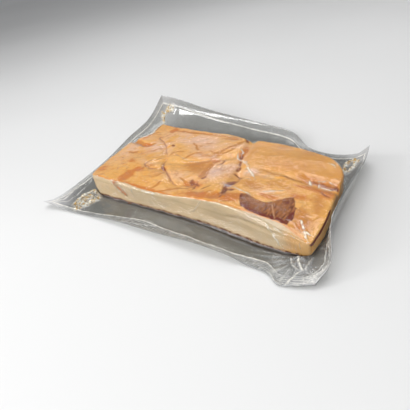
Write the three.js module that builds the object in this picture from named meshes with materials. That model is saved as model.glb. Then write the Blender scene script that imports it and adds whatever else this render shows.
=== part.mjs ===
// A slab of smoked pork fatback, shrunk into a clear pouch whose wide sealed margin lies round its foot.
// Millimetres. +X runs along the slab, +Y to its back and +Z up. The origin is the middle of the pouch's
// outline, on the surface that the slab lies on. Slab and pouch are one closed solid.
import * as THREE from 'three';

// The slab of fat.
const SLAB_THICKNESS = 29.5;
const FOOT_ROUND = 5; // how far the flat underside stays inside the slab's foot
const BELLY_HEIGHT = 0.42; // where the side wall is widest, as a share of the slab's height
const EDGE_ROUND = 3.5; // the rounding along the slab's upper edge

// The pouch.
const FILM_THICKNESS = 1.2; // two films sealed together, with the body that a solid needs
const OUTLINE_MIDDLE_Y = 0.96; // the middle of the stations below, which goes onto the origin
const MARGIN_START = 0.35; // the margin's underside where it leaves the slab
const OUTWARD_CURL = 1.5; // above 1, the margin first runs outwards
const UPWARD_CURL = 1.8; // above 1, the margin rises late

// How finely the surfaces are divided.
const LONG_STEPS = 56; // along the front and the back
const SHORT_STEPS = 30; // along the two ends
const MARGIN_RINGS = 5;
const CORNER_SOFTENING = 1; // rounds of averaging that take the slab's corners off

// The pouch's cut edge, side by side, anticlockwise from the front left tip, each station [x, y, z].
const pouchEdge = {
  front: [
    [-206, -141.5, 10], [-153, -136.5, 1], [-78, -132, 5], [0, -132.5, 8], [59, -132.5, 12], [102, -131.5, 8],
    [125, -131, 1.5], [148, -132.5, 1.5], [163, -141.5, 1], [177, -139.5, 2], [198, -131, 5],
  ],
  right: [
    [198, -131, 5], [206, -111, 21], [200, -95, 35], [193, -75, 39], [188, -30, 40], [183, 65, 30],
    [176, 107, 26],
  ],
  back: [
    [176, 107, 26], [158, 113.5, 8], [125, 114.5, 1], [89, 118, 5], [57, 135.5, 17],
    [-20, 141.5, 27], [-97, 141.5, 39], [-161, 141.5, 53], [-201, 143.5, 57],
  ],
  left: [
    [-201, 143.5, 57], [-202, 100, 32], [-204, 47, 22], [-202, -25, 10], [-203, -122, 5], [-206, -141.5, 10],
  ],
};

// The slab's upper edge and its foot, in the same order, each station [x, y].
const slabTop = {
  front: [[-156, -86], [-47, -87], [53, -86.5], [123, -93.5], [180, -97]],
  right: [[180, -97], [182, -58], [175, -5], [172, 22], [156, 48]],
  back: [
    [156, 48], [140, 57], [96, 70], [34, 76.5], [14, 75.5], [-15, 82], [-78, 80], [-122, 83], [-162, 88],
  ],
  left: [[-162, 88], [-157, 62], [-156, 44], [-164, 32], [-170, 18], [-168, -14], [-162, -56], [-156, -86]],
};
const slabFoot = {
  front: [
    [-147, -85], [-134, -89.5], [-100, -90], [-30, -89], [44, -90.5], [94, -96.5], [134, -99.5],
    [160, -98], [174, -94],
  ],
  right: [[174, -94], [177, -60], [170, 0], [164, 24], [150, 45]],
  back: [[150, 45], [136, 54], [100, 64], [22, 70], [-60, 76], [-156, 82]],
  left: [[-156, 82], [-159, 20], [-154, -55], [-147, -85]],
};

// Broad swells and hollows of the smoked surface: centre, reach in x and y, and lift.
const swells = [
  { at: [-135, -80], reach: [40, 45], lift: 3.5 },
  { at: [70, -85], reach: [62, 42], lift: 8 },
  { at: [-45, -90], reach: [34, 26], lift: -2 },
  { at: [190, -104], reach: [42, 40], lift: -11 },
  { at: [118, 32], reach: [62, 32], lift: 5 },
  { at: [-100, 40], reach: [52, 40], lift: 2.5 },
  { at: [-20, 12], reach: [42, 34], lift: 3 },
  { at: [4, 52], reach: [30, 20], lift: 2 },
  { at: [-110, -32], reach: [34, 20], lift: 2 },
  { at: [-45, -48], reach: [26, 18], lift: 1.8 },
  { at: [12, -32], reach: [24, 20], lift: 2.2 },
  { at: [96, -30], reach: [44, 20], lift: 2.5 },
  { at: [-168, 10], reach: [30, 70], lift: 2.5 },
  { at: [-70, 92], reach: [90, 26], lift: 2.5 },
  { at: [80, 88], reach: [60, 26], lift: 2 },
];

// Folds and splits pressed into that surface: a route, and its width and depth at both ends.
const grooves = [
  { route: [[22, 74], [30, 34], [40, 7], [50, -14]], width: [6, 6], depth: [5, 2.5] },
  { route: [[50, -14], [54, -40], [56, -59], [50, -72]], width: [7, 7], depth: [5, 2.5] },
  { route: [[64, 9], [104, 5], [146, -4], [182, -6]], width: [5, 8], depth: [0.5, 7.5] },
  { route: [[-125, 40], [-86, 6], [-72, -14], [-60, -34]], width: [5, 5], depth: [1, 2.2] },
  { route: [[-60, -34], [-41, -47], [-16, -68]], width: [5, 5], depth: [2.2, 1] },
  { route: [[-72, -14], [-92, -30], [-80, -40], [-60, -36]], width: [5, 5], depth: [1.6, 1.6] },
  { route: [[-66, -18], [-38, -14], [-6, 2], [20, 24]], width: [5, 6], depth: [1, 2.5] },
  { route: [[-168, 22], [-138, 14], [-124, 20]], width: [6, 5], depth: [4, 1] },
  { route: [[-8, -60], [8, -56], [22, -66]], width: [7, 7], depth: [2, 2] },
];

// Gathers, where spare film bunches up at the slab's corners: from the corner out along the margin.
const gathers = [
  { from: [-152, -88], to: [-168, -124], width: 12, lift: 9 },
  { from: [170, -98], to: [183, -122], width: 11, lift: 8 },
  { from: [152, 62], to: [168, 92], width: 11, lift: 7 },
  { from: [-160, 84], to: [-184, 118], width: 12, lift: 8 },
];

const SIDES = ['front', 'right', 'back', 'left'];
const STEPS = { front: LONG_STEPS, right: SHORT_STEPS, back: LONG_STEPS, left: SHORT_STEPS };

function mix(from, to, share) {
  return from + (to - from) * share;
}

// One closed ring of points from its four sides, with the same count on each side for every ring.
function ringOf(outline) {
  return SIDES.flatMap((name) => {
    const stations = outline[name].map(([x, y, z = 0]) => new THREE.Vector3(x, y, z));
    return new THREE.CatmullRomCurve3(stations).getSpacedPoints(STEPS[name]).slice(0, -1);
  });
}

// The ring with each point drawn towards its neighbours, which rounds the corners alone.
function softened(ring) {
  return ring.map((point, i) => {
    const before = ring.at(i - 1);
    const after = ring[(i + 1) % ring.length];
    return point.clone().multiplyScalar(2).add(before).add(after).divideScalar(4);
  });
}

// Distance from (x, y) to a route, and how far along it the nearest point is, from 0 to 1.
function nearestOnRoute(x, y, route) {
  const spans = route.slice(1).map((end, i) => ({ start: route[i], end }));
  const lengths = spans.map(({ start, end }) => Math.hypot(end[0] - start[0], end[1] - start[1]));
  const total = lengths.reduce((sum, length) => sum + length, 0);
  let best = { distance: Infinity, along: 0 };
  let passed = 0;
  spans.forEach(({ start, end }, i) => {
    const dx = end[0] - start[0];
    const dy = end[1] - start[1];
    const onward = ((x - start[0]) * dx + (y - start[1]) * dy) / lengths[i] ** 2;
    const share = THREE.MathUtils.clamp(onward, 0, 1);
    const distance = Math.hypot(x - start[0] - dx * share, y - start[1] - dy * share);
    if (distance < best.distance) {
      best = { distance, along: (passed + lengths[i] * share) / total };
    }
    passed += lengths[i];
  });
  return best;
}

// Height of the smoked surface above the ground at (x, y).
function surfaceHeight(x, y) {
  let height = SLAB_THICKNESS;
  for (const { at, reach, lift } of swells) {
    const away = ((x - at[0]) / reach[0]) ** 2 + ((y - at[1]) / reach[1]) ** 2;
    height += lift * Math.exp(-away);
  }
  for (const { route, width, depth } of grooves) {
    const { distance, along } = nearestOnRoute(x, y, route);
    const away = distance / mix(width[0], width[1], along);
    height -= mix(depth[0], depth[1], along) * Math.exp(-away * away);
  }
  return height;
}

// How much the gathers thicken the margin at (x, y).
function gatherLift(x, y) {
  let lift = 0;
  for (const gather of gathers) {
    const { distance, along } = nearestOnRoute(x, y, [gather.from, gather.to]);
    const away = distance / gather.width;
    lift = Math.max(lift, gather.lift * (1 - along) * Math.exp(-away * away));
  }
  return lift;
}

// A ring drawn inwards by a distance, each point along its own inward direction.
function inset(ring, distance) {
  return ring.map((point, i) => {
    const before = ring.at(i - 1);
    const after = ring[(i + 1) % ring.length];
    const inward = new THREE.Vector3(before.y - after.y, after.x - before.x, 0).normalize();
    return point.clone().addScaledVector(inward, distance);
  });
}

// Rings of the margin's underside, from the slab's foot to the pouch's cut edge.
function marginUnderside(foot, edge) {
  return Array.from({ length: MARGIN_RINGS + 1 }, (_, k) => {
    const share = k / MARGIN_RINGS;
    const out = 1 - (1 - share) ** OUTWARD_CURL;
    const up = share ** UPWARD_CURL;
    return foot.map((start, i) => new THREE.Vector3(
      mix(start.x, edge[i].x, out),
      mix(start.y, edge[i].y, out),
      mix(MARGIN_START, edge[i].z, up),
    ));
  });
}

// The margin's upper side: the underside moved along its normal by the film, and by the gathers.
function marginUpperSide(rings) {
  return rings.map((ring, k) => ring.map((point, i) => {
    const inner = rings[Math.max(k - 1, 0)][i];
    const outer = rings[Math.min(k + 1, rings.length - 1)][i];
    const outwards = outer.clone().sub(inner);
    const onwards = ring[(i + 1) % ring.length].clone().sub(ring.at(i - 1));
    const normal = outwards.cross(onwards).normalize();
    return point.clone().addScaledVector(normal, FILM_THICKNESS + gatherLift(point.x, point.y));
  }));
}

// The slab's wall from above the margin to the rounded upper edge.
function wallRings(foot, start, top) {
  const levels = [0.3, BELLY_HEIGHT, 0.75];
  const walls = levels.map((level) => top.map((edge, i) => {
    const out = Math.min(1, level / BELLY_HEIGHT) ** 0.5;
    const x = mix(foot[i].x, edge.x, out);
    const y = mix(foot[i].y, edge.y, out);
    const height = surfaceHeight(edge.x, edge.y) - EDGE_ROUND;
    return new THREE.Vector3(x, y, Math.max(height * level, start[i].z + 1));
  }));
  const shoulder = top.map(({ x, y }) => new THREE.Vector3(x, y, surfaceHeight(x, y) - EDGE_ROUND));
  return [...walls, shoulder];
}

// A Coons patch over the slab: a grid whose border is the given ring.
function patchOver(ring) {
  const right = LONG_STEPS;
  const back = LONG_STEPS + SHORT_STEPS;
  const left = back + LONG_STEPS;
  const at = (i) => ring[i % ring.length];
  return Array.from({ length: SHORT_STEPS + 1 }, (_, row) => {
    const v = row / SHORT_STEPS;
    return Array.from({ length: LONG_STEPS + 1 }, (_, column) => {
      const u = column / LONG_STEPS;
      const point = new THREE.Vector3();
      point.addScaledVector(at(column), 1 - v).addScaledVector(at(left - column), v);
      point.addScaledVector(at(ring.length - row), 1 - u).addScaledVector(at(right + row), u);
      point.addScaledVector(at(0), -(1 - u) * (1 - v)).addScaledVector(at(right), -u * (1 - v));
      point.addScaledVector(at(back), -u * v).addScaledVector(at(left), -(1 - u) * v);
      point.z = surfaceHeight(point.x, point.y);
      return point;
    });
  });
}

// Collects vertices and triangles for one closed body.
class Skin {
  constructor() {
    this.positions = [];
    this.triangles = [];
  }

  add(points) {
    const first = this.positions.length / 3;
    points.forEach((point) => this.positions.push(point.x, point.y, point.z));
    return points.map((_, i) => first + i);
  }

  // The band between two rings of vertices, the second further along the surface's way.
  band(lower, upper) {
    lower.forEach((a, i) => {
      const next = (i + 1) % lower.length;
      this.triangles.push(a, lower[next], upper[next], a, upper[next], upper[i]);
    });
  }

  geometry() {
    const geometry = new THREE.BufferGeometry();
    geometry.setAttribute('position', new THREE.Float32BufferAttribute(this.positions, 3));
    geometry.setIndex(this.triangles);
    geometry.computeVertexNormals();
    return geometry;
  }
}

// The flat underside, with its faces looking down.
function closeBelow(skin, ring, vertices) {
  const outline = ring.map(({ x, y }) => new THREE.Vector2(x, y));
  for (const [a, b, c] of THREE.ShapeUtils.triangulateShape(outline, [])) {
    skin.triangles.push(vertices[a], vertices[c], vertices[b]);
  }
}

// The smoked surface. Its border uses the vertices of the last ring below it.
function closeAbove(skin, border, ring) {
  const patch = patchOver(ring);
  const right = LONG_STEPS;
  const left = 2 * LONG_STEPS + SHORT_STEPS;
  const rows = patch.map((row, j) => row.map((point, i) => {
    if (j === 0) return border[i];
    if (j === SHORT_STEPS) return border[left - i];
    if (i === 0) return border[border.length - j];
    if (i === LONG_STEPS) return border[right + j];
    return skin.add([point])[0];
  }));
  for (let j = 0; j < SHORT_STEPS; j += 1) {
    for (let i = 0; i < LONG_STEPS; i += 1) {
      const [a, b, c, d] = [rows[j][i], rows[j][i + 1], rows[j + 1][i + 1], rows[j + 1][i]];
      skin.triangles.push(a, b, c, a, c, d);
    }
  }
}

function vacuumPack() {
  let foot = ringOf(slabFoot);
  let top = ringOf(slabTop);
  for (let i = 0; i < CORNER_SOFTENING; i += 1) {
    foot = softened(foot);
    top = softened(top);
  }
  const under = marginUnderside(foot, ringOf(pouchEdge));
  const over = marginUpperSide(under);
  const sole = inset(foot, FOOT_ROUND);
  const rim = inset(top, EDGE_ROUND);
  rim.forEach((point) => point.setZ(surfaceHeight(point.x, point.y)));

  const skin = new Skin();
  const rings = [sole, ...under, ...over.reverse(), ...wallRings(foot, over.at(-1), top), rim];
  const vertices = rings.map((ring) => skin.add(ring));
  for (let k = 1; k < vertices.length; k += 1) {
    skin.band(vertices[k - 1], vertices[k]);
  }
  closeBelow(skin, sole, vertices[0]);
  closeAbove(skin, vertices.at(-1), rim);
  return skin.geometry();
}

const smokedFat = new THREE.MeshStandardMaterial({ color: 0xdca064, roughness: 0.35, metalness: 0 });
const pack = new THREE.Mesh(vacuumPack(), smokedFat);
pack.name = 'vacuum_pack';
pack.position.y = -OUTLINE_MIDDLE_Y;

const group = new THREE.Group();
group.add(pack);

export default group;
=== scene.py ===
"""A slab of smoked pork fatback in its clear vacuum pouch.

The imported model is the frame, in metres. The shapes below are worked out in millimetres from the same
stations as the solid, and the fat, the film that clings to it and the pouch's sealed margin replace it.
"""

import math

import bmesh
import bpy
import numpy as np
from mathutils import Matrix, Vector


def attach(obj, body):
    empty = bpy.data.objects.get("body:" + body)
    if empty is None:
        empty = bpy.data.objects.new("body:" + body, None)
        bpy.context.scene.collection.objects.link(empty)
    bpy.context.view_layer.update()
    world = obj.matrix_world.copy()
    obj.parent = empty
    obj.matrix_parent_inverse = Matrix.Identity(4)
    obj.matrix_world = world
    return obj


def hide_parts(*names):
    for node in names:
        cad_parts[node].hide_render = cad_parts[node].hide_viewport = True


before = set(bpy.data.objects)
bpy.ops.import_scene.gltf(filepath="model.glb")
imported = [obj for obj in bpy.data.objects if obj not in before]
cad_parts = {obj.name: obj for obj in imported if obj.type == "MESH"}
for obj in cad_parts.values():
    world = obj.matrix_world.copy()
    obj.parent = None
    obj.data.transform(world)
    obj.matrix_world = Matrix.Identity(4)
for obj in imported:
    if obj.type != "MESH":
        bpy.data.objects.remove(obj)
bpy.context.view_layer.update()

MM = 0.001

# The camera, placed from the photograph's perspective, in millimetres and degrees.
CAMERA_PLACE = (306.6, -387.0, 296.4)
CAMERA_AZIMUTH = 40.97
CAMERA_ELEVATION = 33.95
CAMERA_ROLL = 11.9
CAMERA_LENS = 36.0
CAMERA_SENSOR = 36.0

# The slab and the pouch, as in the solid.
OUTLINE_MIDDLE_Y = 0.96
SLAB_THICKNESS = 29.5
BELLY_HEIGHT = 0.42
EDGE_ROUND = 3.5
MARGIN_START = 0.35
OUTWARD_CURL = 1.5
UPWARD_CURL = 1.8
CORNER_REACH = 4.6  # how far the softening of the slab's corners reaches

# How finely the surfaces are divided: steps along the front or back, and along an end.
LONG_STEPS = 290
SHORT_STEPS = 150
STEPS = (LONG_STEPS, SHORT_STEPS, LONG_STEPS, SHORT_STEPS)
WALL_RINGS = 26
EDGE_RINGS = 6
MARGIN_RINGS = 60
UNDERSIDE_RINGS = 12

FILM_GAP = 0.45  # between the fat and the film on it
FILM_BODY = 0.35  # the thickness of the sealed margin

# Sides in order: front, right, back, left. Each station is [x, y, z] or [x, y].
POUCH_EDGE = (
    (
        (-206, -141.5, 10), (-153, -136.5, 1), (-78, -132, 5), (0, -132.5, 8), (59, -132.5, 12),
        (102, -131.5, 8), (125, -131, 1.5), (148, -132.5, 1.5), (163, -141.5, 1), (177, -139.5, 2),
        (198, -131, 5),
    ),
    (
        (198, -131, 5), (206, -111, 21), (200, -95, 35), (193, -75, 39), (188, -30, 40), (183, 65, 30),
        (176, 107, 26),
    ),
    (
        (176, 107, 26), (158, 113.5, 8), (125, 114.5, 1), (89, 118, 5), (57, 135.5, 17),
        (-20, 141.5, 27), (-97, 141.5, 39), (-161, 141.5, 53), (-201, 143.5, 57),
    ),
    (
        (-201, 143.5, 57), (-202, 100, 32), (-204, 47, 22), (-202, -25, 10), (-203, -122, 5),
        (-206, -141.5, 10),
    ),
)
SLAB_TOP = (
    ((-156, -86), (-47, -87), (53, -86.5), (123, -93.5), (180, -97)),
    ((180, -97), (182, -58), (175, -5), (172, 22), (156, 48)),
    ((156, 48), (140, 57), (96, 70), (34, 76.5), (14, 75.5), (-15, 82), (-78, 80), (-122, 83), (-162, 88)),
    ((-162, 88), (-157, 62), (-156, 44), (-164, 32), (-170, 18), (-168, -14), (-162, -56), (-156, -86)),
)
SLAB_FOOT = (
    (
        (-147, -85), (-134, -89.5), (-100, -90), (-30, -89), (44, -90.5), (94, -96.5), (134, -99.5),
        (160, -98), (174, -94),
    ),
    ((174, -94), (177, -60), (170, 0), (164, 24), (150, 45)),
    ((150, 45), (136, 54), (100, 64), (22, 70), (-60, 76), (-156, 82)),
    ((-156, 82), (-159, 20), (-154, -55), (-147, -85)),
)

# Broad swells and hollows of the smoked surface: centre, reach in x and y, and lift.
SWELLS = (
    ((-135, -80), (40, 45), 3.5),
    ((70, -85), (62, 42), 8),
    ((-45, -90), (34, 26), -2),
    ((190, -104), (42, 40), -11),
    ((118, 32), (62, 32), 5),
    ((-100, 40), (52, 40), 2.5),
    ((-20, 12), (42, 34), 3),
    ((4, 52), (30, 20), 2),
    ((-110, -32), (34, 20), 2),
    ((-45, -48), (26, 18), 1.8),
    ((12, -32), (24, 20), 2.2),
    ((96, -30), (44, 20), 2.5),
    ((-168, 10), (30, 70), 2.5),
    ((-70, 92), (90, 26), 2.5),
    ((80, 88), (60, 26), 2),
)
# Folds and splits pressed into it: a route, and its width and depth at both ends.
GROOVES = (
    (((22, 74), (30, 34), (40, 7), (50, -14)), (6, 6), (5, 2.5)),
    (((50, -14), (54, -40), (56, -59), (50, -72)), (7, 7), (5, 2.5)),
    (((64, 9), (104, 5), (146, -4), (182, -6)), (5, 8), (0.5, 7.5)),
    (((-125, 40), (-86, 6), (-72, -14), (-60, -34)), (5, 5), (1, 2.2)),
    (((-60, -34), (-41, -47), (-16, -68)), (5, 5), (2.2, 1)),
    (((-72, -14), (-92, -30), (-80, -40), (-60, -36)), (5, 5), (1.6, 1.6)),
    (((-66, -18), (-38, -14), (-6, 2), (20, 24)), (5, 6), (1, 2.5)),
    (((-168, 22), (-138, 14), (-124, 20)), (6, 5), (4, 1)),
    (((-8, -60), (8, -56), (22, -66)), (7, 7), (2, 2)),
)
# Where spare film bunches up at the slab's corners: from the corner out along the margin, width, lift.
GATHERS = (
    ((-152, -88), (-168, -124), 12, 9),
    ((170, -98), (183, -122), 11, 8),
    ((152, 62), (168, 92), 11, 7),
    ((-160, 84), (-184, 118), 12, 8),
)

# Finer marks in the smoked surface: a route, half its width, and its depth, which also sets its strength.
VEINS = (
    (
        ((-118, 68), (-118, 57), (-122, 49), (-131, 42), (-116, 34), (-100, 22), (-88, 8), (-76, -4)),
        1.6, 1.1,
    ),
    (((-76, -4), (-74, -14), (-67, -27), (-51, -39), (-35, -51), (-22, -61), (-9, -67)), 1.6, 1.3),
    (((-76, -6), (-86, -15), (-95, -22), (-95, -34), (-82, -38), (-66, -35), (-64, -28)), 1.4, 1.2),
    (((-76, -2), (-62, 4), (-47, -4), (-35, -8)), 1.3, 0.7),
    (((15, 4), (20, -6), (18, -18), (14, -30)), 1.6, 0.8),
    (((-27, -57), (-22, -48), (-19, -39), (-9, -33), (7, -30)), 1.2, 0.6),
    (((-18, 26), (-11, 34), (-1, 41), (12, 44)), 1.2, 0.6),
    (((-100, 22), (-84, 36), (-66, 46), (-52, 60)), 1.3, 0.6),
    (((-64, -30), (-48, -26), (-30, -24), (-14, -18)), 1.2, 0.6),
    (((-110, -38), (-112, -54), (-100, -66)), 1.3, 0.6),
    (((-156, 20), (-137, 12), (-124, 14)), 1.5, 0.9),
)
# Painted shade: amber laid along the folds and their creases, in the same columns as the marks above.
FOLD_SHADE_MARKS = (
    (((-34, -13), (-20, -8), (-9, -1), (0, 5), (9, 9), (13, 16)), 3.2, 1.4),
    (((2, -2), (4, -19), (8, -32), (11, -44)), 5.0, 1.4),
    (((-26, -18), (-14, -22), (-6, -30)), 9.0, 0.6),
    (((-40, -14), (-10, -14), (0, -34)), 14.0, 0.7),
    (((150, -52), (160, -72), (168, -86)), 11.0, 0.8),
    (((-30, 8), (-12, 12), (4, 26)), 7.0, 0.6),
    (((154, -20), (166, -40), (172, -66)), 9.0, 0.6),
    (((60, 20), (110, 18), (156, 12)), 12.0, 0.4),
    (((60, -24), (80, -34), (100, -44)), 12.0, 0.6),
    (((96, -22), (124, -26), (146, -30)), 9.0, 0.45),
    (((8, -30), (5, -13), (4, 3), (11, 13), (15, 18)), 2.0, 1.3),
    (((-7, -5), (-6, 8), (0, 22), (7, 33), (12, 50)), 2.0, 1.1),
    (((118, 5), (138, 3), (158, 1), (174, 1)), 4.5, 1.2),
    (((-10, 18), (-3, 33), (3, 44), (9, 56), (14, 68)), 3.2, 1.2),
    (((-62, 43), (-53, 36), (-38, 22)), 1.6, 1.1),
    (((-45, -5), (-43, 7), (-38, 14), (-28, 17)), 2.2, 0.9),
    (((-77, -4), (-74, 9), (-66, 14), (-55, 15)), 2.4, 0.7),
    (((-124, 70), (-89, 70), (-62, 73), (-36, 74), (-8, 73), (14, 69)), 3.2, 0.9),
    (((-27, 64), (-11, 68), (4, 65)), 3.0, 0.8),
    (((-148, -12), (-139, -10), (-132, -5)), 2.6, 1.0),
    (((-100, -52), (-92, -44), (-90, -34), (-80, -29)), 2.2, 1.3),
    (((-48, -81), (-42, -70), (-43, -60)), 1.6, 1.2),
    (((-40, -85), (-25, -78), (-8, -67), (10, -66)), 1.8, 1.1),
    (((-22, 27), (-12, 23), (-3, 20)), 1.4, 1.2),
    (((-168, 25), (-152, 20), (-138, 16), (-129, 18), (-122, 26)), 3.8, 1.6),
    (((-150, 44), (-158, 62), (-158, 78)), 3.4, 0.8),
    (((28, -81), (35, -72), (41, -62)), 1.7, 1.1),
    (((54, -78), (55, -68), (54, -56)), 2.0, 1.2),
    (((62, -82), (72, -78), (80, -72)), 2.4, 1.2),
    (((-66, -60), (-56, -52), (-50, -42)), 2.0, 0.7),
    (((-122, -2), (-110, 6), (-104, 16)), 2.0, 0.7),
    (((-24, -46), (-12, -50), (-2, -58)), 1.8, 0.9),
    (((62, 6), (92, 0), (118, -4)), 2.4, 0.7),
    (((72, -74), (64, -66), (60, -58)), 3.0, 1.2),
)
BROWN_MARKS_AND_GROOVE_SHADE = (
    (((13, 75), (17, 68)), 2.2, 1.1),
    (((28, 32), (30, 25)), 2.2, 1.0),
    (((35, 17), (38, 10)), 2.6, 0.8),
    (((41, 3), (42, -5)), 3.0, 0.75),
    (((42, -14), (46, -12), (52, -14), (57, -21), (56, -28)), 1.7, 1.6),
    (((56, -25), (53, -31), (50, -38), (50, -45)), 4.4, 2.2),
    (((50, -44), (52, -50), (55, -57), (58, -64)), 3.4, 1.9),
    (((53, -47), (59, -49), (66, -54)), 2.2, 1.5),
    (((58, -66), (60, -71), (60, -76)), 2.6, 1.0),
    (((0, -50), (5, -54)), 3.4, 1.0),
    (((22, 52), (30, 28), (38, 8), (46, -12)), 0.9, 0.7),
    (((-89, 26), (-87, 25)), 2.2, 1.3),
    (((-65, -29), (-62, -31)), 2.2, 1.1),
    (((-3, -51), (8, -53), (20, -57)), 1.4, 1.0),
    (((15, -69), (12, -57), (9, -45)), 1.2, 0.9),
    (((22, -66), (30, -57), (32, -48)), 1.2, 0.8),
    (((-8, -58), (4, -61), (14, -60)), 1.2, 0.8),
    (((10, -8), (16, 2), (14, 14)), 1.6, 1.0),
    (((12, -40), (14, -36)), 2.0, 1.1),
    # Painted shade in the groove at the right: along its floor, between its glints and on its near wall.
    (((100, 2), (115, -2), (130, -2.5), (139, -6), (148, -9)), 1.5, 0.95),
    (((126, 0), (142, 0), (156, -0.5), (172, -1.5)), 3.2, 0.62),
    (((154, -1), (160, -1.5)), 1.8, 0.9),
    (((165, -1.5), (173, -1)), 1.7, 1.3),
    (((154, -16), (162, -20), (169, -23.5), (175, -26)), 1.5, 0.8),
    (((164, -13), (170, -17), (176, -19)), 4.2, 0.5),
    (((52, -12), (53, -30), (50, -46), (54, -64), (58, -78)), 1.0, 0.75),
)
CRUST_MARKS = {"vein": (VEINS, 120), "amber": (FOLD_SHADE_MARKS, 140), "brown": (BROWN_MARKS_AND_GROOVE_SHADE, 170)}  # and seeds
# Places that smoke and lean have stained, and a painted shadow in the notch at the back left: centre, reach
# in x and y, and strength.
STAINS_AND_NOTCH_SHADE = (
    ((-100, -66), (8, 16), 1.2), ((-94, -48), (8, 6), 1.0), ((-150, -66), (16, 12), 0.5),
    ((-121, 70), (7, 8), 1.2), ((-122, -32), (10, 8), 0.5), ((-134, 17), (12, 5), 0.9),
    ((-60, -82), (60, 5), 0.6), ((30, -76), (34, 8), 0.75), ((62, -70), (20, 10), 1.0),
    ((84, -64), (14, 8), 0.9), ((112, -50), (22, 6), 0.6), ((142, -36), (16, 7), 0.6),
    ((155, -16), (28, 5), 0.9), ((168, -22), (10, 12), 0.6), ((26, 42), (7, 22), 0.6),
    ((118, -4), (30, 5), 0.5), ((8, -56), (20, 9), 0.6), ((4, 4), (12, 10), 0.5),
    ((158, -80), (16, 10), 0.45), ((-154, 40), (6, 20), 0.5), ((-40, 2), (14, 8), 0.35),
)
# The patch of lean in the top, which ends at the cut face.
LEAN_OUTLINE = (
    (77, -56), (85, -55), (93, -57), (101, -62), (111, -62), (117, -59), (122, -53), (130, -43), (136, -39),
    (141, -45), (146, -56), (149, -65), (151, -76), (148, -84), (138, -84), (124, -85), (110, -85),
    (98, -83.5), (90, -79), (83, -68),
)
# In the lean: its darkest, reddest places, and the streaks of fat through it, each with half its width.
LEAN_REDS = (
    ((92, -78), (12, 4), 1.0), ((112, -83), (18, 3.5), 1.1), ((136, -82), (14, 4), 1.1),
    ((147, -70), (4, 12), 0.9), ((134, -52), (6, 8), 0.5), ((80, -64), (4, 7), 0.8),
)
LEAN_STREAKS = (
    (((119, -58), (124, -67), (130, -76), (134, -84)), 1.5, 1.2),
    (((96, -60), (100, -70), (106, -80)), 1.0, 0.6),
    (((128, -50), (134, -62), (140, -76)), 1.0, 0.6),
    (((86, -58), (92, -66), (97, -78)), 1.0, 0.5),
)
# Painted sheen: places where the film's reflection is painted into the crust as a lighter, pinker tone:
# centre, reach in x and y, and strength.
PAINTED_SHEEN_PLACES = (
    ((-64, 52), (56, 20), 1.3), ((-112, 16), (34, 26), 1.1), ((-34, 36), (30, 18), 1.0),
    ((-150, 0), (22, 44), 1.0), ((18, -22), (18, 20), 1.2), ((34, -4), (10, 22), 1.1),
    ((6, 54), (26, 14), 1.0), ((62, -4), (14, 10), 1.3), ((34, 26), (10, 18), 1.1),
    ((104, -44), (14, 6), 0.9), ((66, 62), (30, 10), 0.4), ((-20, -44), (30, 12), 0.8),
    ((-96, -26), (20, 10), 0.6), ((-18, 8), (26, 6), 1.0), ((-16, -78), (34, 8), 0.4),
)
WRINKLE_TURN = 52  # degrees from the slab's length to the run of the finest wrinkles
# Where the smoked crust ends and the cut face begins, along the front: [x, y].
CUT_BORDER = (
    (-170, -80), (-152, -84.5), (-125, -86), (-113, -86.5), (-100, -83.8), (-89, -82.3), (-60, -83.7),
    (-34, -84), (-7, -85.7), (16, -84.7), (41, -86.8), (62, -85.9), (82, -86.6), (101, -86.5),
    (119, -86.7), (136, -84.8), (150, -86.5), (164, -91.5), (178, -95.5), (190, -97),
)
# The crease along the cut face, under the roll of fat that the lean caps: [x, z].
FACE_CREASE = ((74, 21), (92, 24), (108, 23.5), (124, 22), (136, 21), (148, 20.5), (160, 19.5), (174, 17.5))
FACE_CREASE_WIDTH = 2.2
FACE_CREASE_DEPTH = 2.0
FRONT_SIDE_Y = -60  # what belongs to the slab's front side lies before this y
BEVEL_DEPTH = 2.4  # of the bevel behind the cut face's upper edge, at the lean
BEVEL_ENDS = ((84, 108), (174, 158))  # from where in x to where it deepens, from its left and right end
LOBE_BORDER = ((40, 12), (64, 9), (104, 5), (146, -4), (182, -6))  # the front of the back right lobe
BARE = -9  # marks a place well outside the lean
NOT_CUT = -6  # marks a place well outside the cut face


# --- Sums on points ---


def mix(start, end, share):
    return start + (end - start) * share


def smooth_step(low, high, value):
    share = np.clip((value - low) / (high - low), 0, 1)
    return share * share * (3 - 2 * share)


def spaced_points(stations, count):
    """Count steps of equal length along a centripetal Catmull-Rom curve, without its last point."""
    points = np.array([tuple(station) + (0,) * (3 - len(station)) for station in stations], float)
    padded = np.vstack([2 * points[0] - points[1], points, 2 * points[-1] - points[-2]])
    share = np.linspace(0, 1, 60)[:-1, None]
    spans = []
    for p0, p1, p2, p3 in zip(padded, padded[1:], padded[2:], padded[3:]):
        d0, d1, d2 = (math.sqrt(np.linalg.norm(b - a)) for a, b in ((p0, p1), (p1, p2), (p2, p3)))
        leave = ((p1 - p0) / d0 - (p2 - p0) / (d0 + d1) + (p2 - p1) / d1) * d1
        arrive = ((p2 - p1) / d1 - (p3 - p1) / (d1 + d2) + (p3 - p2) / d2) * d1
        square = -3 * p1 + 3 * p2 - 2 * leave - arrive
        cube = 2 * p1 - 2 * p2 + leave + arrive
        spans.append(p1 + leave * share + square * share**2 + cube * share**3)
    dense = np.vstack([*spans, points[-1:]])
    passed = np.concatenate([[0], np.cumsum(np.linalg.norm(np.diff(dense, axis=0), axis=1))])
    wanted = np.linspace(0, passed[-1], count + 1)[:-1]
    return np.stack([np.interp(wanted, passed, dense[:, axis]) for axis in range(3)], axis=1)


def ring_of(outline):
    """One closed ring of points from its four sides."""
    return np.vstack([spaced_points(side, steps) for side, steps in zip(outline, STEPS)])


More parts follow.
